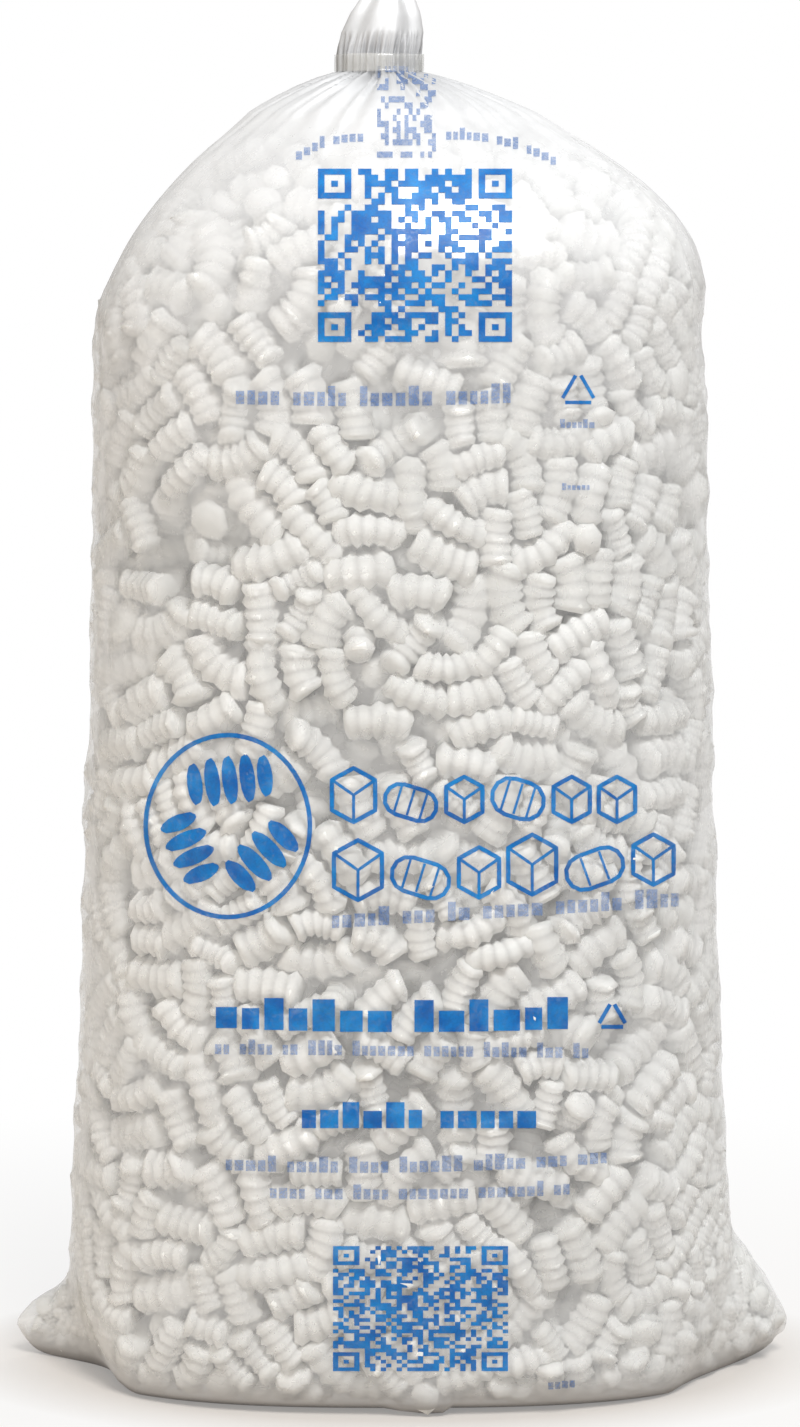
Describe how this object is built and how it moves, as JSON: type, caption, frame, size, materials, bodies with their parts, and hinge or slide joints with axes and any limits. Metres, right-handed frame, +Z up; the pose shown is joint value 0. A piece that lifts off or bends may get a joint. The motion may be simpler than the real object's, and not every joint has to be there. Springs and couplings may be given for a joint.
{
  "type": "packing peanut bag",
  "caption": "Clear film bag full of ribbed foam packing peanuts, sealed straight across the bottom with two corners sticking out, gathered and taped shut at the top.",
  "frame": {"origin": "on the floor, under the middle of the bag's bounding box", "axes": "+Z up, +X to the right along the bottom seal, print side facing -Y"},
  "size_m": [0.416, 0.245, 0.732],
  "materials": {
    "film": "clear thin polyethylene film, glossy",
    "tape": "clear tape",
    "foam": "matte off-white foam",
    "ink": "blue print on the film"
  },
  "bodies": {
    "root": {"film_bag": "film", "neck_tape": "tape", "peanut_01": "foam", "peanut_02": "foam", "peanut_03": "foam", "peanut_04": "foam", "peanut_05": "foam", "peanut_06": "foam", "peanut_07": "foam", "peanut_08": "foam", "peanut_09": "foam", "peanut_10": "foam", "peanut_11": "foam", "peanut_12": "foam", "peanut_13": "foam", "peanut_14": "foam", "peanut_15": "foam", "peanut_16": "foam", "peanut_17": "foam", "peanut_18": "foam", "peanut_19": "foam", "peanut_20": "foam", "peanut_21": "foam", "peanut_22": "foam", "peanut_23": "foam", "peanut_24": "foam", "peanut_25": "foam", "peanut_26": "foam", "peanut_27": "foam", "peanut_28": "foam", "peanut_29": "foam", "peanut_30": "foam", "peanut_31": "foam", "peanut_32": "foam", "peanut_33": "foam", "peanut_34": "foam", "peanut_35": "foam", "peanut_36": "foam", "peanut_37": "foam", "peanut_38": "foam", "peanut_39": "foam", "peanut_40": "foam", "peanut_41": "foam", "peanut_42": "foam", "peanut_43": "foam", "peanut_44": "foam", "peanut_45": "foam", "peanut_46": "foam", "peanut_47": "foam", "peanut_48": "foam", "peanut_49": "foam", "peanut_50": "foam", "peanut_51": "foam", "peanut_52": "foam", "peanut_53": "foam", "peanut_54": "foam", "peanut_heap": "foam"}
  },
  "joints": []
}
